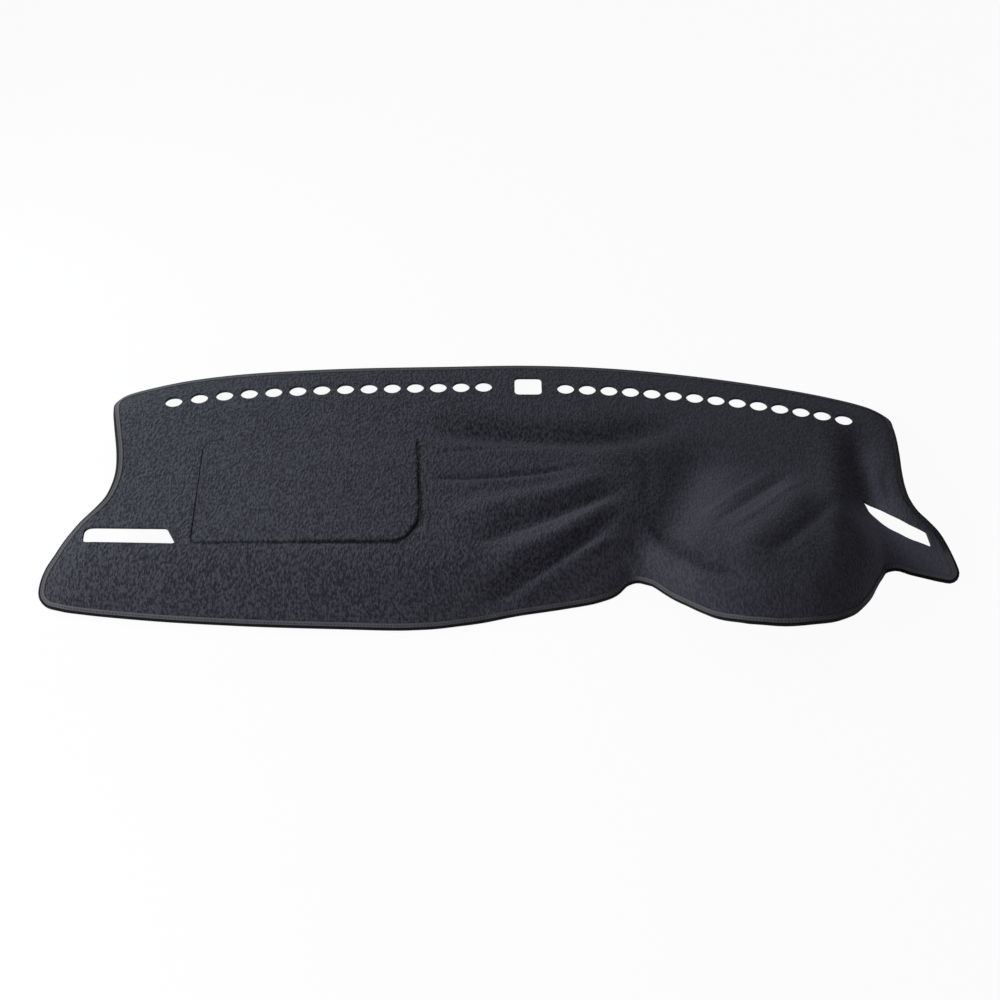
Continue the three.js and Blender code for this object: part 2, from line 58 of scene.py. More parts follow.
CARPET_THICKNESS = 4.5
TAPE_GAP = 0.3
TAPE_THICKNESS = 1.2
TAPE_NOSE = 0.9
TAPE_WIDTH = 9.0
EDGE_INSET = TAPE_GAP + TAPE_THICKNESS + TAPE_NOSE
# Inner face and skin of the tape over the middle of the carpet
TAPE_FACE = CARPET_THICKNESS / 2 + TAPE_GAP
TAPE_SKIN = TAPE_FACE + TAPE_THICKNESS

TOP_SLOPE = 0.1
BACK_LIFT = 6.0
BACK_ROLL = 95.0
FRONT_ROLL = 115.0
ROLL_LIMIT = 1.3
LEFT_DROOP = 0.35
RIGHT_DROOP = 0.5
LEFT_DROOP_START = -620.0
RIGHT_DROOP_START = 625.0
DROOP_RUN = 85.0
BACK_Y = 362.0
REST_HEIGHT = TAPE_SKIN

HOOD_HEIGHT = 62.0
HOOD_LEFT_FOOT = 205.0
HOOD_LEFT_TOP = 380.0
HOOD_RIGHT_TOP = 440.0
HOOD_RIGHT_FOOT = 605.0
HOOD_BACK_FOOT = 100.0
HOOD_CREST = -200.0
HOOD_LIP_ROLL = 75.0
HOOD_LIP_DROP = 32.0
HOOD_MOUTH_LEFT = 175.0
HOOD_MOUTH_LEFT_RUN = 150.0
HOOD_MOUTH_RIGHT = 520.0
HOOD_MOUTH_RIGHT_RUN = 85.0

DEMISTER_COUNT = 14
DEMISTER_WIDTH = 29.5
DEMISTER_DEPTH = 31.0
# Each row: first and last opening, and how far the row is from the back edge
DEMISTER_ROWS = ((-551.0, -28.0, 65.0), (112.0, 573.0, 70.0))
DEMISTER_DRIFT = 0.045
DEMISTER_POINTS = 28
WINDOW_CENTRE = 48.0
WINDOW_WIDTH = 46.0
WINDOW_DEPTH = 52.0
WINDOW_INSET = 64.0
WINDOW_CORNER = 9.0

BACK_EDGE = [
    (-654, 262), (-646, 279), (-629, 289), (-591, 304), (-532, 323), (-430, 341), (-264, 354),
    (-97, 359), (49, 362), (195, 354), (339, 333), (481, 302), (560, 279), (618, 256), (643, 241),
    (655, 222),
]
RIGHT_EDGE = [
    (654, 187), (652, 150), (649, 110), (645, 70), (643, 32), (645, 0), (653, -24), (668, -40),
    (682, -56), (692, -76), (700, -98), (704, -111), (706, -122), (702, -132),
]
FRONT_EDGE = [
    (692, -137), (678, -135), (657, -130), (632, -123), (610, -116), (594, -119), (582, -136),
    (566, -168), (549, -204), (530, -238), (509, -266), (484, -288), (454, -302), (420, -308),
    (383, -306), (347, -297), (318, -279), (297, -254), (272, -216), (246, -176), (228, -152),
    (211, -141), (196, -146), (178, -163), (150, -177), (97, -190), (30, -203), (-30, -217),
    (-84, -227), (-131, -231), (-239, -229), (-389, -223), (-525, -213), (-626, -201),
    (-664, -194), (-688, -184),
]
LEFT_EDGE = [
    (-700, -168), (-699, -149), (-692, -130), (-680, -111), (-667, -85), (-652, -54), (-633, -23),
    (-622, 3), (-617, 35), (-617, 70), (-624, 117), (-638, 178), (-650, 232),
]
BACK_LINE = [
    (-654, 262), (-629, 289), (-532, 323), (-430, 341), (-264, 354), (-97, 359), (49, 362),
    (195, 354), (339, 333), (481, 302), (560, 279), (618, 256), (655, 224),
]
FRONT_LINE = [
    (-700, -176), (-664, -194), (-626, -201), (-525, -213), (-389, -223), (-239, -229),
    (-131, -231), (-84, -227), (-30, -217), (30, -203), (97, -190), (150, -177), (178, -163),
    (211, -141), (246, -176), (297, -254), (318, -279), (347, -297), (420, -308), (484, -288),
    (530, -238), (566, -168), (594, -119), (660, -131), (706, -136),
]

# Folds: points along each, half width and height of its rounded section
FORMED_FOLDS = [
    ([(-152, 186), (-115, 176), (-32, 162), (66, 152), (148, 150), (228, 166), (328, 199)], 28, -12.6),
    ([(-122, 146), (-42, 134), (58, 126), (138, 124)], 18, 3.9),
    ([(-102, -48), (0, -18), (58, 2), (125, 29), (183, 69)], 24, 9.1),
    ([(-62, -116), (-2, -81), (58, -50), (128, -10), (178, 19), (220, 46)], 18, -10.4),
    ([(-42, -161), (30, -121), (91, -84), (148, -37), (193, 16)], 18, 9.1),
    ([(-72, -216), (-32, -198), (30, -166), (91, -127), (148, -78), (188, -26)], 16, -11.2),
    ([(-22, -204), (30, -180), (91, -140), (138, -109), (180, -70)], 12, 7.8),
    ([(350, 164), (325, 113), (309, 60), (285, -12), (258, -79), (228, -136)], 46, -18.4),
    ([(226, -26), (244, -66), (258, -100), (277, -142), (308, -192), (343, -229), (393, -261)], 11, -10.0),
    ([(503, 34), (468, -13), (414, -105), (368, -165), (328, -204)], 30, 9.2),
    ([(553, 214), (545, 174), (533, 73), (513, -65), (497, -181), (490, -266)], 26, 7.2),
    ([(594, 209), (588, 164), (580, 73), (575, -26), (572, -96), (582, -138)], 24, -11.5),
]
# Finer creases that only the dressed mat has
FINE_CREASES = [
    ([(-132, 46), (-62, 51), (0, 55), (68, 65), (143, 82)], 7, -5.0),
    ([(-122, 112), (-22, 124), (98, 136)], 6, -2.6),
    ([(-112, 30), (0, 36), (88, 52), (148, 70)], 12, 2.9),
    ([(473, 70), (417, 7), (365, -54), (314, -106)], 9, -3.6),
    ([(450, 84), (398, 24), (343, -34), (294, -78)], 8, 2.6),
    ([(498, 58), (444, -4), (390, -74), (328, -134)], 8, 2.9),
    ([(538, 4), (478, -86), (428, -156), (378, -206)], 11, -2.9),
    ([(58, -21), (118, 12), (188, 54)], 7, -2.4),
    ([(18, -88), (86, -54), (138, -18)], 6, 1.9),
    ([(38, -194), (96, -174), (158, -139), (193, -111)], 8, -2.6),
    ([(595, 99), (588, 44), (586, -6)], 6, -2.4),
    ([(622, 92), (614, 34), (614, -18)], 6, -2.6),
    ([(226, 124), (238, 74), (234, 14), (224, -26)], 12, -3.6),
]
FOLD_TAPER = 0.28

LEFT_SLOT = [(-641, -66), (-513, -68), (-494, -105), (-638, -100)]
LEFT_SLOT_ROUND = (11.2, 7.0, 4.2, 11.2)
RIGHT_SLOT = [
    (571, 10), (607, -30), (635, -51), (661, -61), (667, -86), (633, -76), (604, -57), (579, -28),
]
RIGHT_SLOT_ROUND = (2.0, 60.0, 60.0, 4.0, 4.0, 60.0, 60.0, 40.0)

# Airbag flap: the slit's path, the radius of its bends and its width at each point
FLAP_PATH = [
    (-452, 150), (-476, 146), (-484, 128), (-472, -104), (-150, -101), (-124, -54), (-136, 146),
]
FLAP_BENDS = (0.0, 14.0, 14.0, 15.4, 20.0, 24.0, 0.0)
FLAP_SLIT = (1.4, 1.6, 1.8, 2.2, 3.6, 4.4, 3.2)
FLAP_LIFT = 2.2
FLAP_HINGE_RUN = 70.0
SLIT_END_WIDTH = 0.3
SLIT_BOTTOM = 0.01

# Steps along the outline, the tape, the openings and the slit
OUTLINE_STEP = 4.5
TAPE_STEP = 6.0
SLOT_STEP = 3.5
WINDOW_STEP = 3.0
SLIT_STEP = 4.0
CURVE_PARTS = 40
BEND_POINTS = 9
# A rounded corner takes at most this share of each side
CORNER_SHARE = 0.48
# Rows of the carpet's points, and how far they keep from a border, as shares of the spacing
ROW_SHARE = 0.866
BORDER_CLEARANCE = 0.55

# Seam and stitches: the groove's place over the tape's width and its depth, and the thread
SEAM_SHARE = 0.57
SEAM_DEPTH = 0.5
THREAD_WIDTH = 0.9
THREAD_RISE = 0.2
STITCH_STATIONS = (0.0, 0.18, 0.52, 0.7)
STITCH_SINK = 0.4
STITCH_ANGLES = 4

# Upper half of the tape's section: share of the width, height and tone at each point; the tone is painted
# light and shade, lighter over the top and darker in the seam's groove and towards the outer edge
TAPE_SECTION = (
    (1.0, TAPE_FACE + 0.25, 0.35),
    (0.97, TAPE_FACE + 0.8, 0.8),
    (0.86, TAPE_SKIN + 0.15, 1.0),
    (0.7, TAPE_SKIN + 0.1, 0.9),
    (SEAM_SHARE, TAPE_SKIN - SEAM_DEPTH, 0.15),
    (0.45, TAPE_SKIN + 0.15, 0.95),
    (0.32, TAPE_SKIN + 0.3, 0.8),
    (0.2, TAPE_SKIN + 0.25, -0.3),
    (0.0, TAPE_SKIN, 0.0),
)
# Turn round the edge in degrees, with the tone there: painted shade, dark round the nose
TAPE_NOSE_TURNS = ((62, 0.0), (35, 0.0), (10, 0.0), (-10, 0.0), (-35, 0.0), (-62, 0.2))
# Painted shade on the tape's inner faces against the carpet
TAPE_INNER_TONE = 0.3

# Light on the tape: its middle value, its change with the edge's direction, and its range
RIM_LIT = 0.85
RIM_TURN = 0.75
RIM_RANGE = (0.12, 1.1)
# Painted highlight on the tape along the front edge of the end flap: gain, and where it starts across and
# towards the front
END_RIM = 1.3
END_RIM_LEFT = 598.0
END_RIM_LEFT_RUN = 30.0
END_RIM_BACK = -80.0
END_RIM_BACK_RUN = 20.0

# Painted light and shade on the folds: the direction towards the light in the plan, and how strongly the
# slopes facing it are painted lighter and the others darker
FOLD_LIGHT_DIRECTION = (-0.55, 0.83)
FOLD_SHADE_STRENGTH = 0.55
# Zones of painted light and shade on the pile: points along each, half width and change of tone
PAINTED_LIGHT_ZONES = [
    ([(-150, 232), (-50, 202), (50, 180), (166, 182), (260, 190)], 30, -0.42),
    ([(180, 250), (212, 160), (222, 60), (205, -30), (180, -100)], 52, -0.68),
    ([(230, 10), (240, -50), (258, -84), (276, -132), (306, -184), (350, -225)], 8, -1.0),
    ([(208, -82), (228, -108), (246, -136), (280, -180), (310, -220)], 17, 0.42),
    ([(318, 140), (318, 70), (304, 0), (292, -70)], 40, 0.32),
    ([(500, 84), (444, 6), (395, -60), (330, -125)], 20, 0.4),
    ([(436, 70), (381, -4), (329, -54), (284, -92)], 14, 0.3),
    ([(548, 290), (550, 180), (548, 70), (540, -40), (534, -140), (534, -290)], 36, -0.6),
    ([(480, 10), (450, -80), (430, -170), (420, -280)], 52, -0.28),
    ([(600, 160), (604, 80), (608, 20), (626, -40), (640, -80)], 24, 0.6),
    ([(560, 20), (596, -60), (640, -92), (690, -110), (760, -130)], 44, 2.7),
    ([(188, -100), (202, -124), (216, -152)], 7, 0.9),
    ([(300, 240), (400, 220), (500, 190)], 40, 0.18),
    ([(-40, -205), (31, -168), (88, -130), (160, -92), (200, -70)], 11, -0.3),
    ([(-80, -190), (-42, -196), (0, -200)], 22, 0.3),
]
# Middle and highest values of the pile's painted light and shade
PILE_TONE_MIDDLE = 0.5
PILE_TONE_LIMIT = 3.4
# Painted light and shadow along the slit's two sides: tone at the slit's hinge side, and its change at the
# front and at the far side, where the painted shadow of the lifted flap is darkest
SLIT_TONE_INNER = (0.6, -0.5, -1.2)
SLIT_TONE_OUTER = (0.4, -0.9, -1.9)
# Where the front and the far side begin, as shares of the slit's length, and the run into them
SLIT_FRONT = (0.2, 0.1)
SLIT_FAR_SIDE = (0.52, 0.12)
# The pile's grain shows less where it lies flatter, over and beside the hood
GRAIN_LEFT = 0.88
GRAIN_RIGHT = 0.5
GRAIN_FROM = -200.0
GRAIN_RUN = 560.0
# Scale per metre and weight of the pile's parts
TUFTS = (260.0, 0.62)
CLUMPS = (130.0, 0.26)
PATCHES = (40.0, 0.07)
BRUSHES = (7.0, 0.05)
TUFT_STRETCH = (1.0, 0.5, 1.0)
PATCH_STRETCH = (1.0, 0.6, 1.0)
PILE_RANGE = (0.42, 0.58)
GRAIN_GAIN = 1.1
# Weight of the painted light and shade, and the sum of grain and painted light at which the pile is
# lightest
TONE_GAIN = 0.75
TONE_FULL = 4.2
# Darkest and lightest pile, as factors of its colour: a shaded and a lit copy, blended by the grain and by
# the painted light and shade
PILE_DARK = 0.1
PILE_LIGHT = 2.815
PILE_DEPTH = 0.008
# Shaded and lit copies of the tape's colour, blended by its weave, its wear and its painted light and shade
TAPE_DARK = 0.2
TAPE_LIGHT = 1.1
TAPE_WEAVE_DEPTH = 0.0005
THREAD_DARK = 0.7
THREAD_LIGHT = 1.2

# Photograph's camera, measured from the middle of the plan
CAMERA_ELEVATION = 46.0
CAMERA_DISTANCE = 2600.0
CAMERA_AIM_HEIGHT = 45.0
PIXELS_PER_MM = 0.636
PICTURE_SIDE = 1000.0
SENSOR = 36.0

FLOOR_SIDE = 14.0
FLOOR_COLOUR = (0.9, 0.9, 0.9, 1.0)
VIEW_DEPTH = 50.0
WHITE = (1.0, 1.0, 1.0, 1.0)

# Soft lights at the left, in metres in the frame
KEY_SIZE = 0.6
KEY_PLACE = (-1.3, 0.4, 0.72)
KEY_AIM = (-0.05, 0.0, 0.05)
KEY_COLOUR = (0.95, 1.0, 1.02)
FRONT_SIZE = 0.9
FRONT_PLACE = (-0.95, -1.15, 0.85)
FRONT_AIM = (0.05, -0.1, 0.05)
FRONT_COLOUR = (1.0, 0.97, 1.0)
FILL_COLOUR = (1.0, 0.94, 1.03, 1.0)


def smooth(value):
    t = np.clip(value, 0.0, 1.0)
    return t * t * (3.0 - 2.0 * t)


def hermite(t, start, start_slope, end, end_slope):
    """Cubic between two points with the given slopes."""
    return ((2 * t**3 - 3 * t**2 + 1) * start + (t**3 - 2 * t**2 + t) * start_slope
            + (3 * t**2 - 2 * t**3) * end + (t**3 - t**2) * end_slope)


class EdgeLine:
    """Height of an edge in the plan, read at each x without overshoot."""

    def __init__(self, points):
        self.x = np.array([p[0] for p in points], float)
        self.y = np.array([p[1] for p in points], float)
        step = np.diff(self.x)
        rise = np.diff(self.y) / step
        slope = np.zeros(len(self.x))
        slope[0] = rise[0]
        slope[-1] = rise[-1]
        for i in range(1, len(self.x) - 1):
            if rise[i - 1] * rise[i] > 0:
                slope[i] = 2 * rise[i - 1] * rise[i] / (rise[i - 1] + rise[i])
        self.slope = slope

    def __call__(self, x):
        x = np.clip(x, self.x[0], self.x[-1])
        i = np.clip(np.searchsorted(self.x, x) - 1, 0, len(self.x) - 2)
        h = self.x[i + 1] - self.x[i]
        t = (x - self.x[i]) / h
        return hermite(t, self.y[i], h * self.slope[i], self.y[i + 1], h * self.slope[i + 1])


back_line = EdgeLine(BACK_LINE)
front_line = EdgeLine(FRONT_LINE)


def fold_height(x, y, folds, strength=1.0):
    total = np.zeros(np.shape(x))
    for points, width, rise in folds:
        line = np.array(points, float)
        legs = np.diff(line, axis=0)
        lengths = np.hypot(legs[:, 0], legs[:, 1])
        starts = np.concatenate([[0.0], np.cumsum(lengths)])
        nearest = np.full(np.shape(x), 1e9)
        along = np.zeros(np.shape(x))
        for k, length in enumerate(lengths):
            ux, uy = legs[k] / length
            t = np.clip((x - line[k, 0]) * ux + (y - line[k, 1]) * uy, 0, length)
            d = np.hypot(x - line[k, 0] - ux * t, y - line[k, 1] - uy * t)
            closer = d < nearest
            nearest = np.where(closer, d, nearest)
            along = np.where(closer, (starts[k] + t) / starts[-1], along)
        taper = smooth(along / FOLD_TAPER) * smooth((1 - along) / FOLD_TAPER)
        total = total + strength * rise * taper * np.exp(-((nearest / width) ** 2))
    return total


def roll(distance, run):
    """Share of the way down to an edge, and a little past it."""
    return np.clip(1 - distance / run, 0, ROLL_LIMIT)


def mat_height(x, y, crease=1.0):
    """Height of the middle of the carpet at points of the plan."""
    yb = back_line(x)
    yf = front_line(x)

    def top_at(yy):
        return REST_HEIGHT + BACK_LIFT + TOP_SLOPE * (BACK_Y - yy)

    hood_open = smooth((x - HOOD_MOUTH_LEFT) / HOOD_MOUTH_LEFT_RUN)
    hood_open = hood_open * (1 - smooth((x - HOOD_MOUTH_RIGHT) / HOOD_MOUTH_RIGHT_RUN))
    z = top_at(y) - (top_at(yb) - REST_HEIGHT) * roll(yb - y, BACK_ROLL)**2
    z = z - (1 - hood_open) * (top_at(yf) - REST_HEIGHT) * roll(y - yf, FRONT_ROLL)**2
    left = 1 - LEFT_DROOP * smooth((LEFT_DROOP_START - x) / DROOP_RUN)
    right = 1 - RIGHT_DROOP * smooth((x - RIGHT_DROOP_START) / DROOP_RUN)
    z = REST_HEIGHT + (z - REST_HEIGHT) * left * right
    across = smooth((x - HOOD_LEFT_FOOT) / (HOOD_LEFT_TOP - HOOD_LEFT_FOOT))
    across = across * (1 - smooth((x - HOOD_RIGHT_TOP) / (HOOD_RIGHT_FOOT - HOOD_RIGHT_TOP)))
    along = smooth((HOOD_BACK_FOOT - y) / (HOOD_BACK_FOOT - HOOD_CREST))
    z = z + HOOD_HEIGHT * across * along - HOOD_LIP_DROP * hood_open * roll(y - yf, HOOD_LIP_ROLL)**2
    z = z + fold_height(x, y, FORMED_FOLDS)
    if crease:
        z = z + fold_height(x, y, FINE_CREASES, crease)
    return z


def mat_points(plan, crease=1.0):
    """Points of the middle surface and its upward normals, for an array of plan points."""
    x = plan[:, 0]
    y = plan[:, 1]
    h = 0.5
    z = mat_height(x, y, crease)
    dx = (mat_height(x + h, y, crease) - mat_height(x - h, y, crease)) / (2 * h)
    dy = (mat_height(x, y + h, crease) - mat_height(x, y - h, crease)) / (2 * h)
    normal = np.stack([-dx, -dy, np.ones_like(dx)], axis=1)
    normal /= np.linalg.norm(normal, axis=1)[:, None]
    return np.stack([x, y, z], axis=1), normal


def to_frame(points):
    """Plan millimetres to the frame's metres."""
    moved = points - np.array([PLAN_CENTRE[0], PLAN_CENTRE[1], PLAN_FLOOR])
    return moved / 1000.0


def closed_curve(control, step):
    """Even points along a closed centripetal Catmull-Rom curve, with tangents."""
    p = np.array(control, float)
    n = len(p)
    fine = []
    for i in range(n):
        p0, p1, p2, p3 = p[i - 1], p[i], p[(i + 1) % n], p[(i + 2) % n]
        d0 = math.sqrt(np.linalg.norm(p1 - p0))
        d1 = math.sqrt(np.linalg.norm(p2 - p1))
        d2 = math.sqrt(np.linalg.norm(p3 - p2))
        t1 = ((p1 - p0) / d0 - (p2 - p0) / (d0 + d1) + (p2 - p1) / d1) * d1
        t2 = ((p2 - p1) / d1 - (p3 - p1) / (d1 + d2) + (p3 - p2) / d2) * d1
        for k in range(CURVE_PARTS):
            fine.append(hermite(k / CURVE_PARTS, p1, t1, p2, t2))
    fine = np.array(fine)
    ring = np.vstack([fine, fine[:1]])
    sums = np.concatenate([[0], np.cumsum(np.linalg.norm(np.diff(ring, axis=0), axis=1))])
    count = int(round(sums[-1] / step))
    wanted = np.arange(count) / count * sums[-1]
    points = np.stack([np.interp(wanted, sums, ring[:, k]) for k in range(2)], axis=1)
    tangent = np.roll(points, -1, axis=0) - np.roll(points, 1, axis=0)
    tangent /= np.linalg.norm(tangent, axis=1)[:, None]
    return points, tangent


def inward(points, tangent, distance):
    """Step inwards from the outline, measured along the surface."""
    _, normal = mat_points(points, 0.0)
    ahead = mat_height(points[:, 0] + tangent[:, 0], points[:, 1] + tangent[:, 1], 0.0)
    behind = mat_height(points[:, 0] - tangent[:, 0], points[:, 1] - tangent[:, 1], 0.0)
    along = np.column_stack([tangent, (ahead - behind) / 2])
    along /= np.linalg.norm(along, axis=1)[:, None]
    side = np.cross(along, normal)
    return points + side[:, :2] * distance


def mat_edge(step):
    """The mat's outline with its tangents, and the carpet's own edge inside the tape."""
    outline, tangent = closed_curve(BACK_EDGE + RIGHT_EDGE + FRONT_EDGE + LEFT_EDGE, step)
    return outline, tangent, inward(outline, tangent, EDGE_INSET)


def rounded_polygon(corners, radii, step):
    """Closed polygon with rounded corners."""
    c = [np.array(p, float) for p in corners]
    n = len(c)
    arcs = []
    for i in range(n):
        a = c[i - 1] - c[i]
        b = c[(i + 1) % n] - c[i]
        la = np.linalg.norm(a)
        lb = np.linalg.norm(b)
        half = math.acos(float(np.clip(np.dot(a / la, b / lb), -1, 1))) / 2
        cut = min(radii[i] / math.tan(half), min(la, lb) * CORNER_SHARE)
        arcs.append((c[i] + a / la * cut, c[i], c[i] + b / lb * cut))
    points = []
    for i, (start, corner, end) in enumerate(arcs):
        length = np.linalg.norm(start - corner) + np.linalg.norm(end - corner)
        turns = max(3, int(math.ceil(length / step)))
        for k in range(turns + 1):
            t = k / turns
            points.append((1 - t)**2 * start + 2 * t * (1 - t) * corner + t * t * end)
        following = arcs[(i + 1) % n][0]
        parts = max(1, int(round(np.linalg.norm(following - end) / step)))
        for k in range(1, parts):
            points.append(end + (following - end) * k / parts)
    return np.array(points)


def leaning(x, inset, width_points):
    """Turns points about an opening's centre to follow the back edge there."""
    y = float(back_line(x)) - inset
    lean = math.atan2(float(back_line(x + 5)) - float(back_line(x - 5)), 10)
    u = width_points[:, 0]
    v = width_points[:, 1]
    return np.stack([x + u * math.cos(lean) - v * math.sin(lean),
                     y + u * math.sin(lean) + v * math.cos(lean)], axis=1)


def demister_openings():
    turn = np.arange(DEMISTER_POINTS) / DEMISTER_POINTS * 2 * math.pi
    oval = np.stack([DEMISTER_WIDTH / 2 * np.cos(turn), DEMISTER_DEPTH / 2 * np.sin(turn)], axis=1)
    loops = []
    for first, last, inset in DEMISTER_ROWS:
        for i in range(DEMISTER_COUNT):
            t = i / (DEMISTER_COUNT - 1)
            t += DEMISTER_DRIFT * t * (1 - t)
            loops.append(leaning(first + (last - first) * t, inset, oval))
    return loops


def window_opening():
    w = WINDOW_WIDTH / 2
    d = WINDOW_DEPTH / 2
    shape = rounded_polygon([(-w, -d), (w, -d), (w, d), (-w, d)], [WINDOW_CORNER] * 4, WINDOW_STEP)
    return leaning(WINDOW_CENTRE, WINDOW_INSET, shape)


def flap_slit(step):
    """Both sides of the slit, and the line between them."""
    path = [np.array(p, float) for p in FLAP_PATH]
    centre = []
    width = []
    for i, corner in enumerate(path):
        if i in (0, len(path) - 1):
            arc = [corner]
        else:
            a = path[i - 1] - corner
            b = path[i + 1] - corner
            la = np.linalg.norm(a)
            lb = np.linalg.norm(b)
            cut = min(FLAP_BENDS[i], la * CORNER_SHARE, lb * CORNER_SHARE)
            start = corner + a / la * cut
            end = corner + b / lb * cut
            arc = [(1 - t)**2 * start + 2 * t * (1 - t) * corner + t * t * end
                   for t in np.linspace(0, 1, BEND_POINTS)]
        if centre:
            gap = arc[0] - centre[-1]
            parts = max(1, int(round(np.linalg.norm(gap) / step)))
            before = width[-1]
            last = centre[-1]
            for k in range(1, parts):
                centre.append(last + gap * k / parts)
                width.append(before + (FLAP_SLIT[i] - before) * k / parts)
        for p in arc:
            centre.append(p)
            width.append(FLAP_SLIT[i])
    centre = np.array(centre)
    width = np.array(width)
    width[0] = SLIT_END_WIDTH
    width[-1] = SLIT_END_WIDTH
    tangent = np.gradient(centre, axis=0)
    tangent /= np.linalg.norm(tangent, axis=1)[:, None]
    side = np.stack([-tangent[:, 1], tangent[:, 0]], axis=1)
    inner = centre + side * width[:, None] / 2
    outer = centre - side * width[:, None] / 2
    return inner, outer, centre, side


def in_loop(loop, points):
    x = points[:, 0]
    y = points[:, 1]
    odd = np.zeros(len(points), bool)
    px, py = loop[-1]
    for qx, qy in loop:
        crosses = (qy > y) != (py > y)
        if py != qy:
            odd ^= crosses & (x < (px - qx) * (y - qy) / (py - qy) + qx)
        px, py = qx, qy
    return odd


def plan_points(outline, holes, border, step):
    """Even points over the cloth, clear of its edge and its openings."""
    low = border.min(axis=0)
    high = border.max(axis=0)
    grid = []
    for k, y in enumerate(np.arange(low[1], high[1], step * ROW_SHARE)):
        xs = np.arange(low[0] + (k % 2) * step / 2, high[0], step)
        grid.append(np.stack([xs, np.full_like(xs, y)], axis=1))
    grid = np.vstack(grid)
    keep = in_loop(outline, grid)
    for hole in holes:
        keep &= ~in_loop(hole, grid)
    near = {}
    for bx, by in border:
        near.setdefault((int(bx // step), int(by // step)), []).append((bx, by))
    kept = []
    for gx, gy in grid[keep]:
        cx = int(gx // step)
        cy = int(gy // step)
        around = [p for i in (cx - 1, cx, cx + 1) for j in (cy - 1, cy, cy + 1)
                  for p in near.get((i, j), ())]
        if all((bx - gx)**2 + (by - gy)**2 >= (BORDER_CLEARANCE * step)**2 for bx, by in around):
            kept.append((gx, gy))
    return np.array(kept)


def plan_triangles(name, plan, loops):
    """Triangles between the points, with the loops as edges and their front upwards."""
    edges = []
    start = 0
    for loop in loops:
        n = len(loop)
        edges += [(start + i, start + (i + 1) % n) for i in range(n)]
        start += n
    verts, _, faces, origins, _, _ = delaunay_2d_cdt([Vector(p) for p in plan], edges, [], 0, 1e-6)
    if len(verts) != len(plan):
        raise RuntimeError(f"{name}: the plan has points that coincide")
    order = [origin[0] for origin in origins]
    tri = np.array([[order[i] for i in f] for f in faces])
    centre = plan[tri].mean(axis=1)
    good = in_loop(loops[0], centre)
    for hole in loops[1:]:
        good &= ~in_loop(hole, centre)
    tri = tri[good]
    a, b, c = plan[tri[:, 0]], plan[tri[:, 1]], plan[tri[:, 2]]
    turn = (b[:, 0] - a[:, 0]) * (c[:, 1] - a[:, 1]) - (b[:, 1] - a[:, 1]) * (c[:, 0] - a[:, 0])
    tri[turn < 0] = tri[turn < 0][:, ::-1]
    return tri


def cloth_mesh(name, outline, holes, slit, step, crease):
    """Carpet as one closed mesh: top, bottom and the walls of its edge and openings."""
    inner_side, outer_side, slit_middle, slit_normal = slit
    count = len(inner_side)
    loops = [outline, *holes, np.vstack([inner_side, outer_side[::-1]])]
    border = np.vstack(loops)
    plan = np.vstack([border, plan_points(outline, holes, border, step)])
    tri = plan_triangles(name, plan, loops)
    inner = slice(len(border) - 2 * count, len(border) - count)
    outer = slice(len(border) - count, len(border))

    base, normal = mat_points(plan, crease)
    on_flap = in_loop(slit_middle, plan)
    on_flap[inner] = True
    on_flap[outer] = False
    hinge = FLAP_PATH[0][1]
    lift = FLAP_LIFT * smooth((hinge - plan[:, 1]) / FLAP_HINGE_RUN) * on_flap
    base = base + normal * lift[:, None]

    # Underneath, the slit's two sides meet
    under = base.copy()
    under[inner] -= normal[inner] * lift[inner, None]
    under[inner, :2] = slit_middle + slit_normal * SLIT_BOTTOM
    under[outer, :2] = (slit_middle - slit_normal * SLIT_BOTTOM)[::-1]
    top = base + normal * CARPET_THICKNESS / 2
    bottom = under - normal * CARPET_THICKNESS / 2
    total = len(plan)
    faces = [tuple(f) for f in tri] + [tuple(f[::-1] + total) for f in tri]
    rims = dict.fromkeys((f[i], f[(i + 1) % 3]) for f in tri for i in range(3))
    faces += [(j, i, i + total, j + total) for i, j in rims if (j, i) not in rims]
    mesh = bpy.data.meshes.new(name)
    verts = to_frame(np.vstack([top, bottom]))
    mesh.from_pydata([tuple(v) for v in verts], [], [tuple(int(i) for i in f) for f in faces])
    # Painted light and shade on the pile, stored for the material
    tone = pile_tone(plan, inner, outer, crease)
    grain = GRAIN_LEFT + (GRAIN_RIGHT - GRAIN_LEFT) * smooth((plan[:, 0] - GRAIN_FROM) / GRAIN_RUN)
    add_values(mesh, "tone", np.concatenate([tone, tone]))
    add_values(mesh, "grain", np.concatenate([grain, grain]))
    mesh.update()
    return mesh


def add_values(mesh, name, values):
    """Stores one shading value per point, read by the material."""
    layer = mesh.attributes.new(name, "FLOAT", "POINT")
    layer.data.foreach_set("value", np.asarray(values, np.float32))


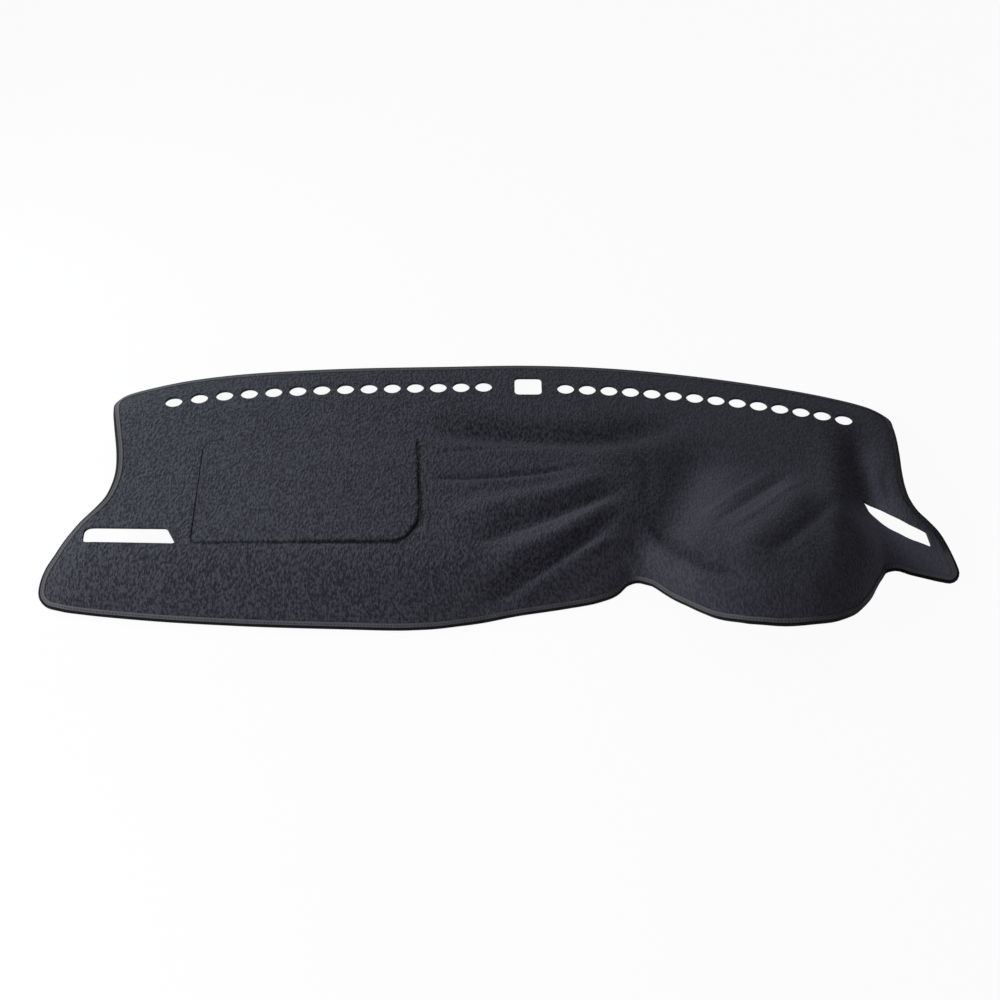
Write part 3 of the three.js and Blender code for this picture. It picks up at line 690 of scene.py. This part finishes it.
def pile_tone(plan, inner, outer, crease):
    """Painted light and shade on the pile: lighter on the side of each fold that faces the light and darker
    on the other, with painted zones and the slit's painted light and shadow.
    """
    x = plan[:, 0]
    y = plan[:, 1]
    h = 1.0

    def folds(px, py):
        return fold_height(px, py, FORMED_FOLDS) + fold_height(px, py, FINE_CREASES, crease)

    dx = (folds(x + h, y) - folds(x - h, y)) / (2 * h)
    dy = (folds(x, y + h) - folds(x, y - h)) / (2 * h)
    facing = -(dx * FOLD_LIGHT_DIRECTION[0] + dy * FOLD_LIGHT_DIRECTION[1])
    tone = PILE_TONE_MIDDLE + FOLD_SHADE_STRENGTH * facing + fold_height(x, y, PAINTED_LIGHT_ZONES)
    tone = np.clip(tone, 0.0, PILE_TONE_LIMIT)
    along = np.linspace(0, 1, inner.stop - inner.start)
    far_side = smooth((along - SLIT_FAR_SIDE[0]) / SLIT_FAR_SIDE[1])
    front = smooth((along - SLIT_FRONT[0]) / SLIT_FRONT[1]) * (1 - far_side)
    for side, values, order in ((inner, SLIT_TONE_INNER, 1), (outer, SLIT_TONE_OUTER, -1)):
        hinge_tone, front_change, far_change = values
        tone[side] = (hinge_tone + front_change * front + far_change * far_side)[::order]
    return tone


def add_object(name, mesh, material):
    piece = bpy.data.objects.new(name, mesh)
    bpy.context.scene.collection.objects.link(piece)
    mesh.materials.append(material)
    mesh.polygons.foreach_set("use_smooth", [True] * len(mesh.polygons))
    return piece


def add_aimed(name, data, place, aim):
    """Adds a camera or a light that looks at a point."""
    made = bpy.data.objects.new(name, data)
    made.location = place
    made.rotation_euler = (Vector(aim) - Vector(place)).to_track_quat("-Z", "Y").to_euler()
    bpy.context.scene.collection.objects.link(made)
    return made


class Wire:
    """A shader socket that takes part in sums."""

    def __init__(self, shading, socket):
        self.shading = shading
        self.socket = socket

    def _math(self, operation, other):
        return self.shading.node("ShaderNodeMath", {"operation": operation}, {0: self, 1: other})

    def __add__(self, other):
        return self._math("ADD", other)

    def __sub__(self, other):
        return self._math("SUBTRACT", other)

    def __mul__(self, other):
        return self._math("MULTIPLY", other)

    def __or__(self, other):
        return self._math("MAXIMUM", other)


class Shading:
    """The node tree of a material or of the world."""

    def __init__(self, owner):
        owner.use_nodes = True
        self.owner = owner
        self.tree = owner.node_tree
        self.surface = self.tree.nodes.get("Principled BSDF")

    def node(self, kind, settings=None, inputs=None, output=0):
        made = self.tree.nodes.new(kind)
        for key, value in (settings or {}).items():
            setattr(made, key, value)
        for key, value in (inputs or {}).items():
            self.feed(made.inputs[key], value)
        return Wire(self, made.outputs[output])

    def feed(self, socket, value):
        if isinstance(value, Wire):
            self.tree.links.new(value.socket, socket)
        else:
            socket.default_value = value

    def set(self, name, value):
        self.feed(self.surface.inputs[name], value)

    def bump(self, height, strength, distance):
        inputs = {"Strength": strength, "Distance": distance, "Height": height}
        self.set("Normal", self.node("ShaderNodeBump", {}, inputs))

    def attribute(self, name):
        return self.node("ShaderNodeAttribute", {"attribute_name": name}, {}, "Fac")

    def noise(self, where, scale, detail=2.0, roughness=0.5):
        settings = {"noise_dimensions": "3D"}
        inputs = {"Vector": where, "Scale": scale, "Detail": detail, "Roughness": roughness}
        return self.node("ShaderNodeTexNoise", settings, inputs)

    def stretched(self, where, scale):
        return self.node("ShaderNodeMapping", {"vector_type": "POINT"}, {"Vector": where, "Scale": scale})

    def spread(self, value, low, high, out_low, out_high):
        inputs = {"Value": value, "From Min": low, "From Max": high, "To Min": out_low, "To Max": out_high}
        return self.node("ShaderNodeMapRange", {"clamp": True}, inputs)

    def blend(self, factor, first, second):
        settings = {"data_type": "RGBA"}
        inputs = {"Factor": factor, 6: first, 7: second}
        return self.node("ShaderNodeMix", settings, inputs, 2)


def shaded(colour, factor):
    """A colour made darker or lighter, in the linear values that a shader takes."""
    scaled = [min(1.0, c * factor) for c in colour]
    linear = [c / 12.92 if c <= 0.04045 else ((c + 0.055) / 1.055)**2.4 for c in scaled]
    return (*linear, 1.0)


def carpet_material(settings):
    """Short cut pile: tufts, patches of random tone and a soft sheen, with light and shade painted into its
    colour from its tone values.
    """
    s = Shading(bpy.data.materials.new("charcoal_pile"))
    where = s.node("ShaderNodeTexCoord", {}, {}, "Object")
    tufts = s.noise(s.stretched(where, TUFT_STRETCH), TUFTS[0], 2.0, 0.6)
    clumps = s.noise(s.stretched(where, TUFT_STRETCH), CLUMPS[0], 3.0, 0.6)
    patches = s.noise(s.stretched(where, PATCH_STRETCH), PATCHES[0], 4.0, 0.6)
    brushes = s.noise(where, BRUSHES[0], 2.0, 0.5)
    grain = s.attribute("grain")
    shade = tufts * TUFTS[1] + clumps * CLUMPS[1] + patches * PATCHES[1] + brushes * BRUSHES[1]
    shade = (s.spread(shade, *PILE_RANGE, 0.0, 1.0) - 0.5) * grain + 0.5
    # How light the pile is: its grain of random tone, and the painted light and shade of its tone values
    tone = shade * GRAIN_GAIN + s.attribute("tone") * TONE_GAIN
    tone = s.spread(tone, 0.0, TONE_FULL, 0.0, 1.0)
    colour = settings.pile_colour
    s.set("Base Color", s.blend(tone, shaded(colour, PILE_DARK), shaded(colour, PILE_LIGHT)))
    s.set("Roughness", s.spread(clumps, 0.3, 0.7, 0.9, 1.0))
    s.set("Specular IOR Level", 0.02)
    s.set("Sheen Weight", 0.16)
    s.set("Sheen Roughness", 0.6)
    s.set("Sheen Tint", (0.85, 0.9, 1.0, 1.0))
    s.bump((tufts * 0.75 + clumps * 0.25) * grain, 1.0, PILE_DEPTH)
    return s.owner


def tape_material(settings):
    """Woven edge tape, with painted light and shade from its tone values, painted darker where it turns
    under.
    """
    s = Shading(bpy.data.materials.new("edge_tape_weave"))
    where = s.node("ShaderNodeTexCoord", {}, {}, "Object")
    weave = s.noise(where, 700.0, 2.0, 0.5)
    wear = s.noise(where, 60.0, 3.0, 0.6)
    # Weave and wear, with the painted light and shade of the tone values
    tone = s.spread(weave * 0.3 + wear * 0.3 + s.attribute("tone") * 0.7, 0.3, 1.0, 0.0, 1.0)
    colour = settings.tape_colour
    s.set("Base Color", s.blend(tone, shaded(colour, TAPE_DARK), shaded(colour, TAPE_LIGHT)))
    s.set("Roughness", s.spread(weave, 0.3, 0.7, 0.72, 0.9))
    s.set("Specular IOR Level", 0.04)
    s.set("Sheen Weight", 0.15)
    s.bump(weave, 0.4, TAPE_WEAVE_DEPTH)
    return s.owner


def thread_material(settings):
    """Twisted sewing thread."""
    s = Shading(bpy.data.materials.new("sewing_thread"))
    where = s.node("ShaderNodeTexCoord", {}, {}, "Object")
    twist = s.noise(where, 900.0, 1.0, 0.5)
    colour = settings.thread_colour
    s.set("Base Color", s.blend(twist, shaded(colour, THREAD_DARK), shaded(colour, THREAD_LIGHT)))
    s.set("Roughness", 0.6)
    return s.owner


class DashMatCarpetSettings(bpy.types.PropertyGroup):
    spacing: bpy.props.FloatProperty(
        name="Mesh spacing", description="Distance between the points of the carpet, in millimetres",
        default=5.0, min=3.0, max=30.0)
    crease: bpy.props.FloatProperty(
        name="Creases", description="Strength of the fine creases", default=1.0, min=0.0, max=2.0)
    pile_colour: bpy.props.FloatVectorProperty(
        name="Pile colour", description="Colour of the carpet's pile", subtype="COLOR_GAMMA", size=3,
        default=(0.162, 0.165, 0.183), min=0.0, max=1.0)


class DashMatTapeSettings(bpy.types.PropertyGroup):
    tape_colour: bpy.props.FloatVectorProperty(
        name="Tape colour", description="Colour of the edge tape", subtype="COLOR_GAMMA", size=3,
        default=(0.335, 0.335, 0.355), min=0.0, max=1.0)
    thread_colour: bpy.props.FloatVectorProperty(
        name="Thread colour", description="Colour of the stitches", subtype="COLOR_GAMMA", size=3,
        default=(0.43, 0.43, 0.45), min=0.0, max=1.0)
    stitch_pitch: bpy.props.FloatProperty(
        name="Stitch pitch", description="Length of one stitch and its gap, in millimetres",
        default=5.0, min=2.0, max=12.0)


class DashMatStageSettings(bpy.types.PropertyGroup):
    floor_white: bpy.props.FloatProperty(
        name="White floor", description="How much of the floor shows as plain white to the camera",
        default=0.95, min=0.0, max=1.0)
    key_light: bpy.props.FloatProperty(
        name="Key light", description="Power of the soft panel at the left end, in watts", default=9.8,
        min=0.0, max=500.0)
    front_light: bpy.props.FloatProperty(
        name="Front light", description="Power of the soft panel at the front left, in watts",
        default=12.5, min=0.0, max=500.0)
    fill_light: bpy.props.FloatProperty(
        name="Fill light", description="Strength of the light all round", default=0.17, min=0.0, max=5.0)


class DASHMAT_OT_carpet(bpy.types.Operator):
    """Build the formed carpet with its openings, folds and airbag flap"""
    bl_idname = "dashmat.carpet"
    bl_label = "Carpet"

    def execute(self, context):
        settings = context.scene.dash_mat_carpet
        _, _, edge = mat_edge(OUTLINE_STEP)
        holes = demister_openings() + [
            window_opening(),
            rounded_polygon(LEFT_SLOT, LEFT_SLOT_ROUND, SLOT_STEP),
            rounded_polygon(RIGHT_SLOT, RIGHT_SLOT_ROUND, SLOT_STEP),
        ]
        step = settings.spacing * 1.0
        mesh = cloth_mesh("carpet_mat_pile", edge, holes, flap_slit(SLIT_STEP), step, settings.crease)
        piece = add_object("carpet_mat_pile", mesh, carpet_material(settings))
        with context.temp_override(object=piece, active_object=piece, selected_objects=[piece],
                                   selected_editable_objects=[piece]):
            bpy.ops.object.shade_smooth_by_angle(angle=math.radians(50))
        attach(piece, "root")
        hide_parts("carpet_mat")
        return {"FINISHED"}


def tape_ring(edge, rim, share, off, side=0.0):
    """Points all along the edge at one place of the tape's section."""
    plan = edge + (rim - edge) * share
    base, normal = mat_points(plan, 0.0)
    far, _ = mat_points(rim, 0.0)
    near, _ = mat_points(edge, 0.0)
    out = near - far
    out /= np.linalg.norm(out, axis=1)[:, None]
    return base + normal * off + out * side


def stitch_parts(line, lift, pitch):
    """Stitches along a closed line of points: each is a short thread with pointed ends."""
    ring = np.vstack([line, line[:1]])
    sums = np.concatenate([[0], np.cumsum(np.linalg.norm(np.diff(ring, axis=0), axis=1))])
    normals = np.vstack([lift, lift[:1]])
    count = int(round(sums[-1] / pitch))
    verts = []
    faces = []
    for k in range(count):
        start = sums[-1] * k / count
        stations = start + np.array(STITCH_STATIONS) * pitch
        stations = np.minimum(stations, sums[-1])
        places = np.stack([np.interp(stations, sums, ring[:, m]) for m in range(3)], axis=1)
        up = np.array([np.interp(stations[1], sums, normals[:, m]) for m in range(3)])
        ahead = places[3] - places[0]
        side = np.cross(ahead, up)
        side *= THREAD_WIDTH / 2 / np.linalg.norm(side)
        first = len(verts)
        verts.append(places[0] - up * THREAD_WIDTH * STITCH_SINK)
        for place in (places[1], places[2]):
            verts += [place + side, place + up * THREAD_WIDTH / 2, place - side,
                      place - up * THREAD_WIDTH / 2]
        verts.append(places[3] - up * THREAD_WIDTH * STITCH_SINK)
        near = first + 1
        far = near + STITCH_ANGLES
        for m in range(STITCH_ANGLES):
            n = (m + 1) % STITCH_ANGLES
            faces.append((first, near + n, near + m))
            faces.append((near + m, near + n, far + n, far + m))
            faces.append((far + m, far + n, far + STITCH_ANGLES))
    return verts, faces


def tape_rings(edge, rim):
    """Rings from the tape's upper inner edge, round the edge and back inside, with their tones of painted
    light and shade.
    """
    places = [(share, off, 0.0, tone) for share, off, tone in TAPE_SECTION]
    for turn, tone in TAPE_NOSE_TURNS:
        a = math.radians(turn)
        places.append((0.0, TAPE_SKIN * math.sin(a), EDGE_INSET * math.cos(a), tone))
    places += [(share, -min(off, TAPE_SKIN), 0.0, tone) for share, off, tone in reversed(TAPE_SECTION)]
    for share, off, side in ((1.0, -TAPE_FACE, 0.0), (0.0, -TAPE_FACE, TAPE_GAP),
                             (0.0, TAPE_FACE, TAPE_GAP), (1.0, TAPE_FACE, 0.0)):
        places.append((share, off, side, TAPE_INNER_TONE))
    rings = [tape_ring(edge, rim, share, off, side) for share, off, side, _ in places]
    return rings, [tone for _, _, _, tone in places]


def rim_light(edge, tangent):
    """Painted light on the tape at each point of the edge, lighter or darker by the edge's direction, with
    a painted highlight along the end flap's front edge.
    """
    lit = np.clip(RIM_LIT + RIM_TURN * tangent[:, 1], *RIM_RANGE)
    across = smooth((edge[:, 0] - END_RIM_LEFT) / END_RIM_LEFT_RUN)
    return lit + END_RIM * across * smooth((END_RIM_BACK - edge[:, 1]) / END_RIM_BACK_RUN)


class DASHMAT_OT_binding(bpy.types.Operator):
    """Build the tape that is folded over the whole edge"""
    bl_idname = "dashmat.binding"
    bl_label = "Edge tape"

    def execute(self, context):
        settings = context.scene.dash_mat_tape
        outline, tangent, edge = mat_edge(TAPE_STEP)
        rim = inward(outline, tangent, EDGE_INSET + TAPE_WIDTH)
        rings, tones = tape_rings(edge, rim)
        count = len(edge)
        sides = len(rings)
        faces = []
        for k in range(sides):
            m = (k + 1) % sides
            for i in range(count):
                j = (i + 1) % count
                faces.append((k * count + i, k * count + j, m * count + j, m * count + i))
        strip = len(faces)
        middle, normal = mat_points(edge + (rim - edge) * SEAM_SHARE, 0.0)
        points = list(np.vstack(rings))
        for up in (1.0, -1.0):
            line = middle + normal * up * (TAPE_SKIN - SEAM_DEPTH + THREAD_WIDTH * THREAD_RISE)
            more, threads = stitch_parts(line, normal * up, settings.stitch_pitch)
            start = len(points)
            points += more
            faces += [tuple(start + v for v in f) for f in threads]
        # The soft edge lies on the floor and never under it
        points = np.array(points)
        points[:, 2] = np.maximum(points[:, 2], PLAN_FLOOR)
        mesh = bpy.data.meshes.new("edge_binding_tape")
        mesh.from_pydata([tuple(v) for v in to_frame(points)], [], faces)
        # Painted light and shade along the tape's rings
        tone = np.outer(tones, rim_light(edge, tangent)).ravel()
        add_values(mesh, "tone", np.concatenate([tone, np.ones(len(points) - sides * count)]))
        work = bmesh.new()
        work.from_mesh(mesh)
        bmesh.ops.recalc_face_normals(work, faces=work.faces)
        work.to_mesh(mesh)
        work.free()
        piece = add_object("edge_binding_tape", mesh, tape_material(settings))
        mesh.materials.append(thread_material(settings))
        mesh.polygons.foreach_set("material_index", [int(k >= strip) for k in range(len(mesh.polygons))])
        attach(piece, "root")
        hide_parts("edge_binding")
        return {"FINISHED"}


def background_rays(s):
    """Rays that meet the plain white background."""
    kinds = ("Is Camera Ray", "Is Glossy Ray", "Is Transmission Ray")
    camera, glossy, transmission = [s.node("ShaderNodeLightPath", {}, {}, kind) for kind in kinds]
    return camera | glossy | transmission


def camera_place():
    aim = np.array([0.0, 0.0, CAMERA_AIM_HEIGHT])
    e = math.radians(CAMERA_ELEVATION)
    back = np.array([0.0, -math.cos(e), math.sin(e)]) * CAMERA_DISTANCE
    return to_frame((aim + back)[None])[0], to_frame(aim[None])[0]


class DASHMAT_OT_stage(bpy.types.Operator):
    """Set the floor, the lights and the photograph's camera"""
    bl_idname = "dashmat.stage"
    bl_label = "Stage"

    def execute(self, context):
        scene = context.scene
        settings = scene.dash_mat_stage
        bpy.ops.mesh.primitive_plane_add(size=FLOOR_SIDE, location=(0, 0, 0))
        floor = context.object
        floor.name = "studio_floor"
        s = Shading(bpy.data.materials.new("studio_white"))
        s.set("Base Color", FLOOR_COLOUR)
        s.set("Roughness", 0.9)
        s.set("Specular IOR Level", 0.0)
        rays = background_rays(s)
        plain = s.node("ShaderNodeEmission", {}, {"Color": WHITE, "Strength": 1.0})
        lit = Wire(s, s.surface.outputs[0])
        shown = s.node("ShaderNodeMixShader", {}, {0: rays * settings.floor_white, 1: lit, 2: plain})
        s.tree.links.new(shown.socket, s.tree.nodes["Material Output"].inputs["Surface"])
        floor.data.materials.append(s.owner)

        place, aim = camera_place()
        camera_data = bpy.data.cameras.new("photo_camera")
        camera_data.sensor_width = SENSOR
        camera_data.lens = PIXELS_PER_MM * CAMERA_DISTANCE / PICTURE_SIDE * SENSOR
        camera_data.clip_end = VIEW_DEPTH
        scene.camera = add_aimed("photo_camera", camera_data, place, aim)

        panels = (
            ("key_panel", settings.key_light, KEY_SIZE, KEY_PLACE, KEY_AIM, KEY_COLOUR),
            ("front_panel", settings.front_light, FRONT_SIZE, FRONT_PLACE, FRONT_AIM, FRONT_COLOUR),
        )
        for name, power, size, place, aim, colour in panels:
            light = bpy.data.lights.new(name, "AREA")
            light.shape = "DISK"
            light.size = size
            light.energy = power
            light.color = colour
            add_aimed(name, light, place, aim)

        w = Shading(bpy.data.worlds.new("studio_world"))
        fill = w.node("ShaderNodeBackground", {}, {"Color": FILL_COLOUR, "Strength": settings.fill_light})
        white = w.node("ShaderNodeBackground", {}, {"Color": WHITE, "Strength": 1.0})
        shown = w.node("ShaderNodeMixShader", {}, {0: background_rays(w), 1: fill, 2: white})
        w.feed(w.tree.nodes["World Output"].inputs["Surface"], shown)
        scene.world = w.owner
        scene.view_settings.view_transform = "Standard"
        return {"FINISHED"}


class DASHMAT_PT_panel(bpy.types.Panel):
    bl_idname = "DASHMAT_PT_panel"
    bl_label = "Dashboard cover mat"
    bl_space_type = "VIEW_3D"
    bl_region_type = "UI"
    bl_category = "Dash mat"

    def draw(self, context):
        layout = self.layout
        scene = context.scene
        for group, operator in (("dash_mat_carpet", "dashmat.carpet"), ("dash_mat_tape", "dashmat.binding"),
                                ("dash_mat_stage", "dashmat.stage")):
            settings = getattr(scene, group)
            column = layout.column()
            for name in settings.__annotations__:
                column.prop(settings, name)
            column.operator(operator)


CLASSES = (
    DashMatCarpetSettings, DashMatTapeSettings, DashMatStageSettings,
    DASHMAT_OT_carpet, DASHMAT_OT_binding, DASHMAT_OT_stage, DASHMAT_PT_panel,
)


def register():
    for cls in CLASSES:
        bpy.utils.register_class(cls)
    bpy.types.Scene.dash_mat_carpet = bpy.props.PointerProperty(type=DashMatCarpetSettings)
    bpy.types.Scene.dash_mat_tape = bpy.props.PointerProperty(type=DashMatTapeSettings)
    bpy.types.Scene.dash_mat_stage = bpy.props.PointerProperty(type=DashMatStageSettings)


def unregister():
    del bpy.types.Scene.dash_mat_stage
    del bpy.types.Scene.dash_mat_tape
    del bpy.types.Scene.dash_mat_carpet
    for cls in reversed(CLASSES):
        bpy.utils.unregister_class(cls)


def main():
    register()
    bpy.ops.dashmat.stage()
    bpy.ops.dashmat.carpet()
    bpy.ops.dashmat.binding()


if __name__ == "__main__":
    main()
